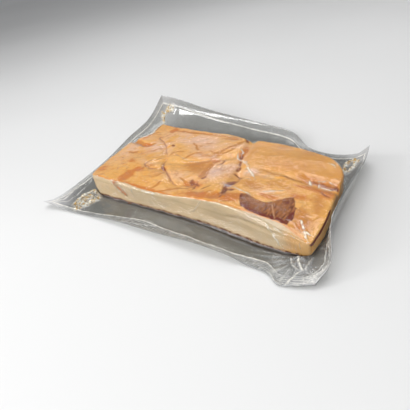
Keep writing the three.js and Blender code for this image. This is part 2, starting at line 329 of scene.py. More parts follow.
def softened(ring):
    """The ring with its corners rounded by averaging neighbours over CORNER_REACH."""
    spacing = np.linalg.norm(np.diff(ring, axis=0), axis=1).mean()
    for _ in range(round(2 * (CORNER_REACH / spacing) ** 2)):
        ring = (2 * ring + np.roll(ring, 1, axis=0) + np.roll(ring, -1, axis=0)) / 4
    return ring


def inset(ring, distance):
    """The ring drawn inwards, each point along its own inward direction."""
    along = np.roll(ring, -1, axis=0) - np.roll(ring, 1, axis=0)
    inward = np.stack([-along[:, 1], along[:, 0], np.zeros(len(ring))], axis=1)
    return ring + inward / np.linalg.norm(inward, axis=1)[:, None] * distance


def nearest_on_route(x, y, route):
    """Distance of each (x, y) from a route, and how far along it the nearest point is, 0 to 1."""
    route = np.array(route, float)
    lengths = np.linalg.norm(np.diff(route, axis=0), axis=1)
    distance = np.full(np.shape(x), np.inf)
    along = np.zeros(np.shape(x))
    passed = 0.0
    for start, end, length in zip(route, route[1:], lengths):
        way = end - start
        share = np.clip(((x - start[0]) * way[0] + (y - start[1]) * way[1]) / length**2, 0, 1)
        here = np.hypot(x - start[0] - way[0] * share, y - start[1] - way[1] * share)
        closer = here < distance
        along = np.where(closer, (passed + length * share) / lengths.sum(), along)
        distance = np.where(closer, here, distance)
        passed += length
    return distance, along


def lattice(column, row, seed):
    """A fixed value from -1 to 1 for each cell of a grid, by an integer hash of 32 bits."""
    mask = np.uint64(0xFFFFFFFF)
    mixed = column.astype(np.int64) * 374761393 + row.astype(np.int64) * 668265263 + seed * 974634777
    mixed = mixed.astype(np.uint64) & mask
    mixed = ((mixed ^ (mixed >> np.uint64(13))) * np.uint64(1274126177)) & mask
    mixed = (mixed ^ (mixed >> np.uint64(16))) & np.uint64(0xFFFF)
    return mixed.astype(float) / 32767.5 - 1


def waves(x, y, size, seed):
    """Smooth random waves from about -1 to 1, size across: gradient noise."""
    u, v = np.asarray(x, float) / size, np.asarray(y, float) / size
    column, row = np.floor(u), np.floor(v)
    s, t = u - column, v - row
    slopes = []
    for j in (0, 1):
        for i in (0, 1):
            angle = math.pi * lattice(column + i, row + j, seed)
            slopes.append(np.cos(angle) * (s - i) + np.sin(angle) * (t - j))
    s, t = (w * w * w * (w * (6 * w - 15) + 10) for w in (s, t))
    return 1.6 * mix(mix(slopes[0], slopes[1], s), mix(slopes[2], slopes[3], s), t)


def rough(x, y, size, seed, octaves=3):
    """Waves on waves, each set half as large and half as strong."""
    total = 0.0
    for octave in range(octaves):
        total = total + waves(x, y, size / 2**octave, seed + octave) / 2**octave
    return total


def wandering(x, y, amount, size, seed):
    """The point moved about a little, so that what is measured from it wanders."""
    return x + amount * rough(x, y, size, seed, 2), y + amount * rough(x, y, size, seed + 50, 2)


def creases(x, y, size, seed, sharpness):
    """Thin crooked lines, 0 to 1, about size apart."""
    x, y = wandering(x, y, size / 4, size, seed)
    return np.clip(1 - np.abs(waves(x, y, size, seed + 7)), 0, 1) ** sharpness


def crumple(x, y, size, seed):
    """Height of crumpled film, 0 to 1, with sharp crests between its hollows, and how near a crest is."""
    u, v = np.asarray(x, float) / size, np.asarray(y, float) / size
    column, row = np.floor(u), np.floor(v)
    first = np.full(np.shape(u), 9.0)
    second = first.copy()
    for j in (-1, 0, 1):
        for i in (-1, 0, 1):
            across = column + i + 0.5 + 0.45 * lattice(column + i, row + j, seed) - u
            onward = row + j + 0.5 + 0.45 * lattice(column + i, row + j, seed + 9) - v
            away = np.hypot(across, onward)
            second = np.minimum(second, np.maximum(away, first))
            first = np.minimum(first, away)
    return np.clip(first, 0, 1) ** 1.5, np.exp(-(((second - first) / 0.13) ** 2))


def inside_distance(x, y, outline):
    """Distance from an outline, positive inside it."""
    distance, _ = nearest_on_route(x, y, (*outline, outline[0]))
    crossings = np.zeros(np.shape(x), int)
    for (x0, y0), (x1, y1) in zip(outline, (*outline[1:], outline[0])):
        spans = (y0 > y) != (y1 > y)
        reach = x0 + (y - y0) * (x1 - x0) / ((y1 - y0) or 1e-9)
        crossings += spans & (x < reach)
    return np.where(crossings % 2 == 1, distance, -distance)


def tapered(along):
    """1 along the middle of a route, falling towards 0 at both its ends."""
    return np.sin(math.pi * np.clip(along, 0.002, 0.998)) ** 0.35


# --- The slab's and the pouch's form ---


def surface_height(x, y):
    """Height of the smoked surface, as in the solid."""
    height = SLAB_THICKNESS + np.zeros(np.shape(x))
    for at, reach, lift in SWELLS:
        height += lift * np.exp(-(((x - at[0]) / reach[0]) ** 2) - ((y - at[1]) / reach[1]) ** 2)
    for route, width, depth in GROOVES:
        distance, along = nearest_on_route(x, y, route)
        away = distance / mix(width[0], width[1], along)
        height -= mix(depth[0], depth[1], along) * np.exp(-away * away)
    return height


def gather_lift(x, y):
    """How much the gathers lift the margin."""
    lift = np.zeros(np.shape(x))
    for start, end, width, most in GATHERS:
        distance, along = nearest_on_route(x, y, (start, end))
        lift = np.maximum(lift, most * (1 - along) * np.exp(-((distance / width) ** 2)))
    return lift


foot_ring = softened(ring_of(SLAB_FOOT))
top_ring = softened(ring_of(SLAB_TOP))
edge_ring = ring_of(POUCH_EDGE)


def coons_patch(ring):
    """A grid of points whose border is the ring, as rows from the front to the back."""
    count = len(ring)
    right, back, left = LONG_STEPS, LONG_STEPS + SHORT_STEPS, 2 * LONG_STEPS + SHORT_STEPS
    u = np.linspace(0, 1, LONG_STEPS + 1)[None, :, None]
    v = np.linspace(0, 1, SHORT_STEPS + 1)[:, None, None]
    front_side = ring[np.arange(LONG_STEPS + 1)][None]
    back_side = ring[left - np.arange(LONG_STEPS + 1)][None]
    left_side = ring[(count - np.arange(SHORT_STEPS + 1)) % count][:, None]
    right_side = ring[right + np.arange(SHORT_STEPS + 1)][:, None]
    corners = (1 - u) * (1 - v) * ring[0] + u * (1 - v) * ring[right]
    corners = corners + u * v * ring[back] + (1 - u) * v * ring[left]
    return (1 - v) * front_side + v * back_side + (1 - u) * left_side + u * right_side - corners


class Surface:
    """Points and faces of one mesh, in millimetres."""

    def __init__(self):
        self.points = np.zeros((0, 3))
        self.faces = []

    def add(self, points):
        first = len(self.points)
        self.points = np.vstack([self.points, points.reshape(-1, 3)])
        return np.arange(first, len(self.points)).reshape(points.shape[:-1])

    def band(self, lower, upper):
        """The band between two closed rings of vertices."""
        after = np.roll(lower, -1), np.roll(upper, -1)
        self.faces += np.stack([lower, after[0], after[1], upper], axis=1).tolist()

    def grid(self, rows):
        """A sheet of vertices in rows."""
        corners = rows[:-1, :-1], rows[:-1, 1:], rows[1:, 1:], rows[1:, :-1]
        self.faces += np.stack([corner.ravel() for corner in corners], axis=1).tolist()

    def mesh(self, name, points):
        mesh = bpy.data.meshes.new(name)
        mesh.from_pydata(points.tolist(), [], self.faces)
        mesh.update()
        return mesh

    def piece(self, name, material):
        """The piece, placed in the frame, with smooth shading."""
        mesh = self.mesh(name, (self.points - [0, OUTLINE_MIDDLE_Y, 0]) * MM)
        mesh.polygons.foreach_set("use_smooth", [True] * len(mesh.polygons))
        piece = bpy.data.objects.new(name, mesh)
        bpy.context.scene.collection.objects.link(piece)
        piece.data.materials.append(material)
        return piece

    def normals(self):
        """Unit normals at the points."""
        mesh = self.mesh("scratch", self.points)
        found = np.zeros(len(self.points) * 3, np.float32)
        mesh.vertex_normals.foreach_get("vector", found)
        bpy.data.meshes.remove(mesh)
        return found.reshape(-1, 3).astype(float)


def set_attributes(piece, attributes):
    """Give the piece's points the named values that its material reads."""
    for name, values in attributes.items():
        layer = piece.data.attributes.new(name, "FLOAT", "POINT")
        layer.data.foreach_set("value", np.ascontiguousarray(values, np.float32))


def close_below(piece, ring):
    """A flat face over the lowest ring of vertices."""
    work = bmesh.new()
    work.from_mesh(piece.data)
    work.verts.ensure_lookup_table()
    face = work.faces.new([work.verts[i] for i in reversed(ring)])
    bmesh.ops.triangulate(work, faces=[face])
    work.to_mesh(piece.data)
    work.free()


def slab_surface():
    """The slab's wall and smoked top, without its underside. Returns it and its lowest ring."""
    surface = Surface()
    shoulder = surface_height(top_ring[:, 0], top_ring[:, 1]) - EDGE_ROUND
    rings = []
    for level in np.linspace(0, 1, WALL_RINGS):
        out = min(1, level / BELLY_HEIGHT) ** 0.5
        ring = mix(foot_ring, top_ring, out)
        ring[:, 2] = mix(MARGIN_START + FILM_BODY, shoulder, level)
        rings.append(ring)
    for turn in np.linspace(0, math.pi / 2, EDGE_RINGS)[1:]:
        ring = inset(top_ring, EDGE_ROUND * (1 - math.cos(turn)))
        height = surface_height(ring[:, 0], ring[:, 1])
        ring[:, 2] = height - EDGE_ROUND * (1 - math.sin(turn))
        rings.append(ring)
    vertices = [surface.add(ring) for ring in rings]
    for lower, upper in zip(vertices, vertices[1:]):
        surface.band(lower, upper)

    patch = coons_patch(rings[-1])
    inner = patch[1:-1, 1:-1]
    inner[..., 2] = surface_height(inner[..., 0], inner[..., 1])
    border = vertices[-1]
    rows = np.zeros(patch.shape[:2], int)
    rows[0] = border[: LONG_STEPS + 1]
    rows[-1] = border[2 * LONG_STEPS + SHORT_STEPS - np.arange(LONG_STEPS + 1)]
    rows[:, 0] = border[-np.arange(SHORT_STEPS + 1)]
    rows[:, -1] = border[LONG_STEPS + np.arange(SHORT_STEPS + 1)]
    rows[1:-1, 1:-1] = surface.add(inner)
    surface.grid(rows)
    return surface, vertices[0]


class SlabPlaces:
    """What the fat and its film both need to know about the slab's points."""

    def __init__(self, surface):
        self.x, self.y, self.z = surface.points.T
        self.normals = surface.normals()
        self.drop = surface_height(self.x, self.y) - self.z
        self.on_top = smooth_step(6, 1, self.drop)
        self.in_front = self.y < FRONT_SIDE_Y
        self.facing_front = smooth_step(0.35, 0.8, -self.normals[:, 1]) * self.in_front
        self.past_border = np.interp(self.x, *np.array(CUT_BORDER).T) - self.y
        # Slanted, so that waves measured along them don't run down the walls as streaks.
        self.across = self.x + 0.6 * self.z
        self.onward = self.y + 0.8 * self.z

    def cut_face_relief(self):
        """The bevel behind the cut face's upper edge, and the crease that runs along it."""
        extent = smooth_step(*BEVEL_ENDS[0], self.x) * smooth_step(*BEVEL_ENDS[1], self.x)
        bevel = BEVEL_DEPTH * smooth_step(-1, 9, self.past_border) * extent * self.in_front
        distance, along = nearest_on_route(self.x, self.z, FACE_CREASE)
        crease = FACE_CREASE_DEPTH * np.exp(-((distance / FACE_CREASE_WIDTH) ** 2))
        return -bevel * self.on_top - crease * tapered(along) * self.facing_front


# --- Fat ---

FULL_MARK_DEPTH = 1.2  # marks this deep or deeper have their full colour
MARK_RELIEF = 0.7  # how much of a mark's depth the crust is pressed in
# The swell beside a mark: how far off and how wide it is, in widths of the mark, and its share of the depth.
SWELL_PLACE = 2.2
SWELL_WIDTH = 1.6
SWELL_SHARE = 0.3


def patches(x, y, places):
    """How strong soft patches are at (x, y)."""
    strongest = np.zeros(len(x))
    for centre, reach, strength in places:
        away = ((x - centre[0]) / reach[0]) ** 2 + ((y - centre[1]) / reach[1]) ** 2
        strongest = np.maximum(strongest, strength * np.exp(-away))
    return strongest


def pressed_marks(x, y, strokes, seed):
    """How strong the marks are at (x, y), and how deep, less the slight swell beside each of them."""
    strength = np.zeros(len(x))
    sunk = np.zeros(len(x))
    for i, (route, width, depth) in enumerate(strokes):
        distance, along = nearest_on_route(*wandering(x, y, 1.3, 7, seed + i), route)
        fade = tapered(along) if len(route) > 2 else 1.0
        mark = np.exp(-((distance / width) ** 2)) * fade
        swollen = np.exp(-(((distance - SWELL_PLACE * width) / (SWELL_WIDTH * width)) ** 2)) * fade
        strength = np.maximum(strength, mark * min(1, depth / FULL_MARK_DEPTH))
        sunk += (mark - SWELL_SHARE * swollen) * depth * MARK_RELIEF
    return strength, sunk


def make_fatback():
    surface, foot = slab_surface()
    at = SlabPlaces(surface)
    x, y, z = at.x, at.y, at.z

    # The lobe at the back right is smooth and porous; the rest is folded.
    lobe = smooth_step(-4, 10, y - np.interp(x, *np.array(LOBE_BORDER).T)) * smooth_step(24, 44, x)
    folded = 1 - 0.85 * lobe

    relief = 0.5 * rough(at.across, at.onward, 24, 1) + 0.12 * rough(at.across, at.onward, 5, 7, 2)
    wrinkles = creases(x + 0.5 * y, 1.2 * x - 1.7 * y, 30, 31, 6) * folded * at.on_top
    relief -= 0.35 * wrinkles
    marks = {}
    for name, (strokes, seed) in CRUST_MARKS.items():
        marks[name], sunk = pressed_marks(x, y, strokes, seed)
        relief -= sunk * at.on_top
    # Painted shade: the wrinkles' creases are darkened with amber too.
    marks["amber"] = np.maximum(marks["amber"], 0.35 * wrinkles)

    # The lean is sunk a little, and its fibres run as fine ridges.
    lean = inside_distance(*wandering(x, y, 1.5, 5, 90), LEAN_OUTLINE)
    lean = np.where((at.drop < 8) & (y > -100), lean, BARE)
    fibre = np.sin(1.7 * (x + 0.3 * y + 3 * rough(x, y, 26, 95)))
    relief += smooth_step(0, 2, lean) * (0.12 * fibre - 0.35)
    relief += at.cut_face_relief()
    relief += 0.5 * rough(x, 1.6 * z, 34, 210) * at.facing_front

    surface.points -= at.normals * (FILM_GAP - relief)[:, None]
    surface.points[:, 2] = np.maximum(surface.points[:, 2], FILM_BODY)
    piece = surface.piece("fatback", fat_material())
    close_below(piece, foot)

    cut = at.past_border + np.minimum(at.drop, 12) * 0.6
    face = smooth_step(0.1, 0.4, at.facing_front) + (at.drop < 5) * smooth_step(176, 168, x)
    rim = np.exp(-(((at.drop - 2.4) / 1.9) ** 2)) * smooth_step(168, 174, x)
    red_end = smooth_step(-99, -92, y) * smooth_step(-38, -50, y)
    faint_end = smooth_step(30, 0, y) * smooth_step(-60, -40, y)
    set_attributes(piece, {name: strength * at.on_top for name, strength in marks.items()})
    set_attributes(piece, {
        "cut_depth": np.where(face > 0.5, cut, NOT_CUT),
        "lean_depth": lean,
        "lean_red": patches(x, y, LEAN_REDS),
        "lean_fat": pressed_marks(x, y, LEAN_STREAKS, 200)[0],
        "stain_and_notch_shade": patches(x, y, STAINS_AND_NOTCH_SHADE),
        "painted_sheen": patches(x, y, PAINTED_SHEEN_PLACES),
        "pores": lobe,
        "height": z,
        "corner": smooth_step(128, 176, x) + 0.5 * smooth_step(-140, -158, x),
        "layers": z - np.interp(x, *np.array(FACE_CREASE).T) + 0.02 * (x - 70),
        "red_rim": rim * (red_end + 0.35 * faint_end),
    })
    return piece


# --- Film on the fat ---

# Folds of the film over the top, their crests painted whitish as highlights and a few short ones as glints:
# a route in x and y, width and height.
TOP_FOLDS = (
    (((22, 34), (28, 20), (37, 19), (47, 10)), 0.9, 1.5),
    (((37, 19), (51, 6), (58, -2), (67, -10), (74, -17), (82, -28)), 0.8, 1.6),
    (((19, 44), (26, 39), (27, 32), (22, 34)), 0.9, 1.6),
    (((-83, 2), (-67, 3), (-47, -4), (-35, -8), (-19, -6), (-7, 1), (2, 13), (12, 15)), 1.5, 0.7),
    (((59, -45), (66, -49), (73, -52), (84, -55), (95, -58)), 1.2, 1.1),
    (((98, -47), (106, -42), (114, -38), (124, -33)), 1.2, 0.9),
    (((138, 3), (140.5, -4), (145, -5)), 1.1, 2.6),
    (((150, -1), (153, -8)), 1.0, 2.2),
    (((153, -5), (160, -5), (168, -6)), 1.0, 1.8),
    (((143, 1), (154, 3), (160, 4), (166, 2), (172, 0)), 0.8, 1.0),
    (((158, -70), (166, -82), (172, -90), (177, -95)), 1.3, 1.6),
    (((169, -64), (173, -76), (177, -86), (179, -94)), 0.7, 0.7),
    (((148, -74), (160, -83), (170, -89), (177, -95)), 0.8, 0.8),
    (((178, -66), (179, -78), (180, -90)), 0.7, 0.6),
    (((165, -80), (170, -84), (176, -86)), 1.2, 1.5),
    (((136, -66), (152, -78), (168, -89)), 0.7, 0.4),
    (((146, 38), (156, 34), (163, 24)), 1.2, 0.9),
    (((150, 46), (159, 40), (166, 30)), 1.0, 0.8),
    (((46, 36), (70, 34), (96, 42)), 1.4, 0.5),
    (((54, 64), (72, 60), (90, 62)), 1.4, 0.5),
    (((-60, 74), (-20, 74), (12, 72)), 1.4, 0.7),
    (((-152, -84), (-128, -82), (-112, -86)), 1.2, 0.6),
    (((-58, -86), (-44, -86.5), (-30, -86)), 1.2, 1.0),
    (((-166, 28), (-154, 36), (-151, 52), (-158, 74), (-161, 85)), 1.6, 1.5),
    (((36, 14), (44, 16), (50, 8)), 0.8, 1.2),
    (((49, 11), (56, 3), (52, -4)), 0.8, 1.2),
    (((57, 1), (62, -6), (58, -11)), 0.8, 1.1),
    (((64, -8), (70, -16), (66, -21)), 0.8, 1.1),
    (((84, 6), (92, 2), (98, 3)), 1.0, 0.7),
    (((60, -30), (70, -24), (82, -26)), 1.0, 0.8),
)
# Folds of the film down the cut face, their crests painted whitish as highlights: a route in x and z, width,
# height and how amber it looks.
FACE_FOLDS = (
    (((-117, 38), (-108, 28), (-100, 19), (-92, 11)), 1.9, 2.2, 0.0),
    (((-111, 36), (-102, 27), (-94, 18), (-86, 11)), 2.2, 2.4, 1.0),
    (((-105, 34), (-97, 26), (-90, 19)), 1.4, 1.2, 0.1),
    (((-77, 33), (-74, 24), (-71, 11)), 1.3, 0.8, 0.0),
    (((-69, 32), (-66, 20), (-64, 9)), 0.8, 0.5, 0.0),
    (((-60, 33), (-57, 24), (-56, 11)), 0.9, 0.6, 0.0),
    (((-45, 30), (-44, 21), (-43, 8)), 0.9, 0.6, 0.0),
    (((-30, 30), (-28, 18), (-28, 8)), 0.8, 0.4, 0.0),
    (((-13, 31), (-17, 16), (-17, 5)), 0.9, 0.5, 0.0),
    (((44, 38), (36, 27), (28, 17), (17, 10)), 1.4, 0.8, 0.4),
    (((122, 38), (129, 31), (136, 21), (144, 10), (152, 3)), 1.4, 1.2, 0.1),
    (((134, 36), (146, 30), (156, 25), (164, 22)), 1.6, 1.4, 0.1),
    (((128, 34), (140, 28), (154, 21)), 1.3, 0.9, 0.1),
    (((140, 34), (150, 31), (160, 27)), 1.4, 1.2, 0.1),
    (((168, 22), (168, 14), (170, 5)), 0.9, 0.8, 0.2),
    (((-151, 27), (-148, 18), (-149, 8)), 0.9, 0.6, 0.2),
)
# Sheens where the film stands off a little: centre, reach in x and y, and strength.
SHEENS = (
    ((20, -16), (12, 26), 1.0), ((50, -43), (9, 5), 1.6), ((106, -42), (16, 5), 1.2),
    ((64, -4), (12, 6), 1.2), ((88, -12), (12, 5), 0.9), ((-50, 52), (40, 14), 0.5),
    ((-14, 12), (24, 5), 0.9), ((96, 60), (30, 4), 0.7), ((-100, 14), (20, 12), 0.4),
)


def film_folds(x, y, folds, seed):
    """Height of the film's folds at (x, y), and how amber they look."""
    lift = np.zeros(len(x))
    amber = np.zeros(len(x))
    for i, (route, width, height, *tint) in enumerate(folds):
        distance, along = nearest_on_route(*wandering(x, y, 0.9, 7, seed + i), route)
        rise = height * tapered(along) / (1 + (distance / width) ** 2) ** 1.5
        lift = np.maximum(lift, rise)
        amber = np.maximum(amber, rise * (tint[0] if tint else 0))
    return lift, amber


def make_film_skin():
    surface, foot = slab_surface()
    at = SlabPlaces(surface)
    x, y, z = at.x, at.y, at.z
    top_lift, _ = film_folds(x, y, TOP_FOLDS, 500)
    face_lift, amber = film_folds(x, z, FACE_FOLDS, 560)
    folds = np.maximum(top_lift * at.on_top, face_lift * at.facing_front)
    ripple = 0.22 * rough(at.across, at.onward, 11, 301) + 0.25 * creases(at.across, at.onward, 9, 340, 9)
    rise = smooth_step(0, 3, z - MARGIN_START - FILM_BODY)
    lift = 0.15 + folds + ripple * smooth_step(0.2, 1, at.on_top + 0.4) + at.cut_face_relief()
    surface.points += at.normals * (lift * rise)[:, None]
    piece = surface.piece("film_skin", skin_material())

    # Painted light in the film: whitish highlights on the folds, sheen in patches and thin streaks.
    set_attributes(piece, {
        "fold": np.clip(folds, 0, 1.5),
        "amber": np.clip(amber, 0, 1) * at.facing_front,
        "sheen": patches(x, y, SHEENS) * at.on_top,
        "stretch": creases(at.across, at.onward, 13, 380, 12),
        # Painted shadow: dark haze on the film near the floor, which mirrors less there.
        "foot": smooth_step(3.2, 1.8, z + 0.8 * rough(x, y, 14, 390)),
        "dull": smooth_step(8, 3.5, z),
    })
    return piece


# --- The pouch's sealed margin ---

# Width of the ridged seal at equal steps along each side, in the order of the sides.
SEAL_WIDTHS = (
    (12, 9, 12, 22, 17, 14, 10, 15, 14),
    (14, 13, 12, 11, 10, 10, 11, 12),
    (12, 12, 12, 13, 14, 14, 14, 14, 14),
    (14, 11, 9, 9, 9, 10, 12),
)
SEAL_RIDGES = 5
RIDGE_HEIGHTS = (0.20, 0.16, 0.04, 0.08)  # of the seal's ridges along each side
SEAL_LINE_HEIGHT = 0.6  # of the line along the seal's inner edge
SEAL_LINE_WIDTH = 1.1
PLEAT_HEIGHTS = (0.5, 0.9, 0.6, 0.2)  # of the pleats at each gather
PLEATED_PLACE = (182, -122)  # here, and over this reach, pleats all but hide the seal's inner line
PLEATED_REACH = 26
CALM_BACK = (92, 116)  # between these y the margin's broad waves fade towards the back
SOLE_INSET = 5  # how far in from the slab's foot the film reaches the floor
TIP_WHITENESS = (2.4, 0.8, 1.0, 0.8)  # how whitish the film is at the first corner of each side
TIP_REACH = 34

# Folds across the margin, their crests painted whitish as highlights: a route in x and y, width and height.
MARGIN_FOLDS = (
    (((-67, -131), (-47, -126), (-27, -121), (-7, -116)), 0.9, 0.9),
    (((-203, -138), (-188, -122), (-193, -100), (-196, -76)), 1.0, 1.0),
    (((-196, -134), (-179, -122), (-179, -106), (-186, -76)), 1.0, 0.8),
    (((-46, -110), (-26, -112), (-7, -116)), 1.0, 0.8),
    (((-150, -89), (-144, -90), (-139, -93)), 2.0, 1.6),
    (((62, -117), (65, -101)), 0.8, 0.5),
    (((160, -103), (166, -113), (176, -118)), 0.8, 1.2),
    (((167, -99), (171, -107), (176, -114), (180, -117)), 1.1, 2.0),
    (((181, -95), (181, -105), (180, -116)), 0.7, 1.1),
    (((177, -118), (174, -128), (170, -140)), 0.9, 1.6),
    (((182, -116), (190, -118), (196, -104), (192, -72)), 0.7, 1.1),
    (((179, -124), (190, -124), (198, -112), (200, -95)), 0.7, 1.0),
    (((177, -130), (190, -128), (199, -116), (203, -104)), 0.6, 0.9),
    (((174, -136), (186, -133), (198, -124)), 0.6, 0.9),
    (((179, -121), (188, -121), (196, -112)), 0.6, 0.9),
    (((149, -131), (157, -137), (165, -141)), 0.8, 0.9),
    (((182, -77), (190, -83), (196, -89)), 0.8, 0.7),
)
# Thick crumpled ridges of spare film at the slab's corners, painted with white highlights and gold
# reflections: a route, width, height.
CRUMPLES = (
    (((-148, -89), (-158, -90), (-163, -98), (-164, -110), (-161, -121)), 4.2, 3.8),
    (((-140, -93), (-139, -102), (-143, -111), (-147, -120), (-151, -127)), 4.6, 3.6),
    (((-162, -116), (-157, -124), (-150, -128)), 4.6, 3.0),
    (((-151, -96), (-153, -106), (-154, -118)), 6.0, 3.0),
    (((-164, 92), (-178, 110), (-189, 120), (-193, 128), (-187, 135), (-174, 136.5)), 2.8, 3.8),
    (((158, 62), (154, 78), (154, 92), (160, 97), (168, 88)), 3.4, 3.6),
    (((160, 66), (168, 78), (164, 92)), 2.6, 3.0),
)
CRUMPLE_SIZES = (4.2, 2.3)  # of the coarse and the fine hollows in crumpled film
FORMING_MARKS = ((-113, -99, 4.6), (147, -108, 5.0))  # centre and radius of small rings in the film
PLEATS_PER_TURN = 34


def seal_widths():
    """The seal's width at every point of the cut edge."""
    widths = [np.interp(np.arange(steps) / steps, np.linspace(0, 1, len(side)), side)
              for side, steps in zip(SEAL_WIDTHS, STEPS)]
    return np.concatenate(widths)


def margin_rings(shares):
    """Rings of the margin's underside, as in the solid, at the given shares of the way out."""
    rings = []
    for share in shares:
        out = 1 - (1 - share) ** OUTWARD_CURL
        ring = mix(foot_ring, edge_ring, out)
        ring[:, 2] = mix(MARGIN_START, edge_ring[:, 2], share**UPWARD_CURL)
        rings.append(ring)
    return np.array(rings)


def ring_normals(rings):
    outwards = np.gradient(rings, axis=0)
    onwards = np.roll(rings, -1, axis=1) - np.roll(rings, 1, axis=1)
    normals = np.cross(outwards, onwards)
    return normals / np.linalg.norm(normals, axis=2)[..., None]


def pleats(x, y):
    """Soft pleats that fan out from the slab's corners."""
    lift = np.zeros(np.shape(x))
    for i, (start, _, _, _) in enumerate(GATHERS):
        angle = np.arctan2(y - start[1], x - start[0])
        distance = np.hypot(x - start[0], y - start[1])
        fan = creases(angle * PLEATS_PER_TURN / (2 * math.pi) * 8, distance * 0.06, 8, 610 + i, 4)
        reach = smooth_step(8, 24, distance) * smooth_step(74, 40, distance)
        lift = np.maximum(lift, PLEAT_HEIGHTS[i] * fan * reach)
    return lift


def make_film_margin():
    shares = np.linspace(0, 1, MARGIN_RINGS + 1) ** 0.85
    upper = margin_rings(shares)
    steps = np.linalg.norm(np.diff(upper, axis=0), axis=2)
    from_edge = np.concatenate([np.cumsum(steps[::-1], axis=0)[::-1], np.zeros((1, upper.shape[1]))])
    x, y = upper[..., 0], upper[..., 1]

    # The seal along the cut edge: its ridges, and the line along its inner edge.
    width = seal_widths()[None, :]
    seal = smooth_step(width + 0.5, width - 0.5, from_edge)
    band = seal * smooth_step(0.3, 1.2, from_edge)
    ridges = np.cos(2 * math.pi * SEAL_RIDGES * (from_edge + 0.25 * waves(x, y, 12, 430)) / width)
    ridge_height = np.repeat(RIDGE_HEIGHTS, STEPS)[None, :]
    from_pleats = np.hypot(x - PLEATED_PLACE[0], y - PLEATED_PLACE[1])
    pleated = np.exp(-((from_pleats / PLEATED_REACH) ** 4))
    line = np.exp(-(((from_edge - width) / SEAL_LINE_WIDTH) ** 2)) * (1 - 0.9 * pleated)

    # Broad waves, pleats, folds, and the film that is bunched up at the slab's corners.
    swell = 0.7 * rough(x, y, 24, 401) + 0.18 * rough(x, y, 6, 411, 2)
    swell *= 1 - 0.85 * smooth_step(*CALM_BACK, y)
    fanned = pleats(x, y)
    folds, _ = film_folds(x.ravel(), y.ravel(), MARGIN_FOLDS, 640)
    folds = folds.reshape(x.shape)
    gathered = gather_lift(x, y)
    near_gather = np.clip(gathered / 5, 0, 1)
    bowls, crests = crumple(x, y, CRUMPLE_SIZES[0], 700)
    fine_bowls, fine_crests = crumple(x, y, CRUMPLE_SIZES[1], 720)
    ridge = np.zeros(x.shape)
    for i, (route, reach, height) in enumerate(CRUMPLES):
        distance, along = nearest_on_route(*wandering(x, y, 1.2, 6, 660 + i), route)
        mound = np.exp(-((distance / reach) ** 2)) * smooth_step(-0.02, 0.06, along)
        ridge = np.maximum(ridge, mound * height / 3.5)
    marks = np.zeros(x.shape)
    for across, onward, radius in FORMING_MARKS:
        marks = np.maximum(marks, np.exp(-(((np.hypot(x - across, y - onward) - radius) / 0.9) ** 2)))

    inner = smooth_step(0, 0.08, shares)[:, None]
    lift = swell + ridge_height * band * ridges + SEAL_LINE_HEIGHT * line + fanned + folds + 0.5 * marks
    lift += near_gather * (1.6 * bowls - 0.5) + ridge * (1.4 + 2.4 * bowls + 1.0 * fine_bowls)
    lift = FILM_BODY + 0.2 + (lift + 0.55 * gathered) * inner
    upper = upper + ring_normals(upper) * np.maximum(lift, FILM_BODY)[..., None]

    under = margin_rings(np.linspace(0, 1, UNDERSIDE_RINGS + 1))
    surface = Surface()
    sole = inset(foot_ring, SOLE_INSET)
    sole[:, 2] = 0.0
    under_rings = [surface.add(ring) for ring in (sole, *under)]
    upper_rings = [surface.add(ring) for ring in upper[::-1]]
    rings = under_rings + upper_rings
    for lower, higher in zip(rings, rings[1:]):
        surface.band(lower, higher)
    piece = surface.piece("film_margin", margin_material())
    close_below(piece, under_rings[0])

    # Painted highlights: whitish crests on the seal's ridges, the folds, pleats and forming marks, and along
    # the seal's inner line.
    crest = np.maximum(line, 2.7 * ridge_height * band * smooth_step(0.2, 0.9, ridges))
    crest = np.maximum(crest, np.clip(0.8 * folds, 0, 1))
    crest = np.maximum(crest, 0.45 * smooth_step(0.35, 0.8, fanned))
    crest = np.maximum(crest, 0.3 * marks)
    from_foot = np.linalg.norm(upper[..., :2] - foot_ring[:, :2], axis=2)
    # Painted shadow: dark haze on the film beside the slab's foot, which mirrors less there.
    shaded = smooth_step(7, 1, from_foot + rough(x, y, 16, 440)) * smooth_step(0.8, 0.2, ridge)
    whitish = np.zeros(x.shape)
    for side, strength in zip(POUCH_EDGE, TIP_WHITENESS):
        from_tip = np.hypot(x - side[0][0], y - side[0][1])
        whitish += strength * np.exp(-((from_tip / TIP_REACH) ** 2))
    above = {
        "seal": seal,
        "crest": crest,
        # Painted highlights on the crumpled crests and in the gathers.
        "crumple": np.clip(ridge * np.maximum(crests, 0.7 * fine_crests), 0, 1),
        "gather": np.clip(near_gather * crests, 0, 1),
        "mound": np.clip(ridge, 0, 1),
        "brink": smooth_step(1.1, 0.2, from_edge),
        "foot": shaded,
        "dull": shaded,
        "tip": whitish,
    }
    below = np.zeros((len(under_rings), upper.shape[1]))
    set_attributes(piece, {name: np.vstack([below, values[::-1]]).ravel() for name, values in above.items()})
    return piece


# --- Materials ---


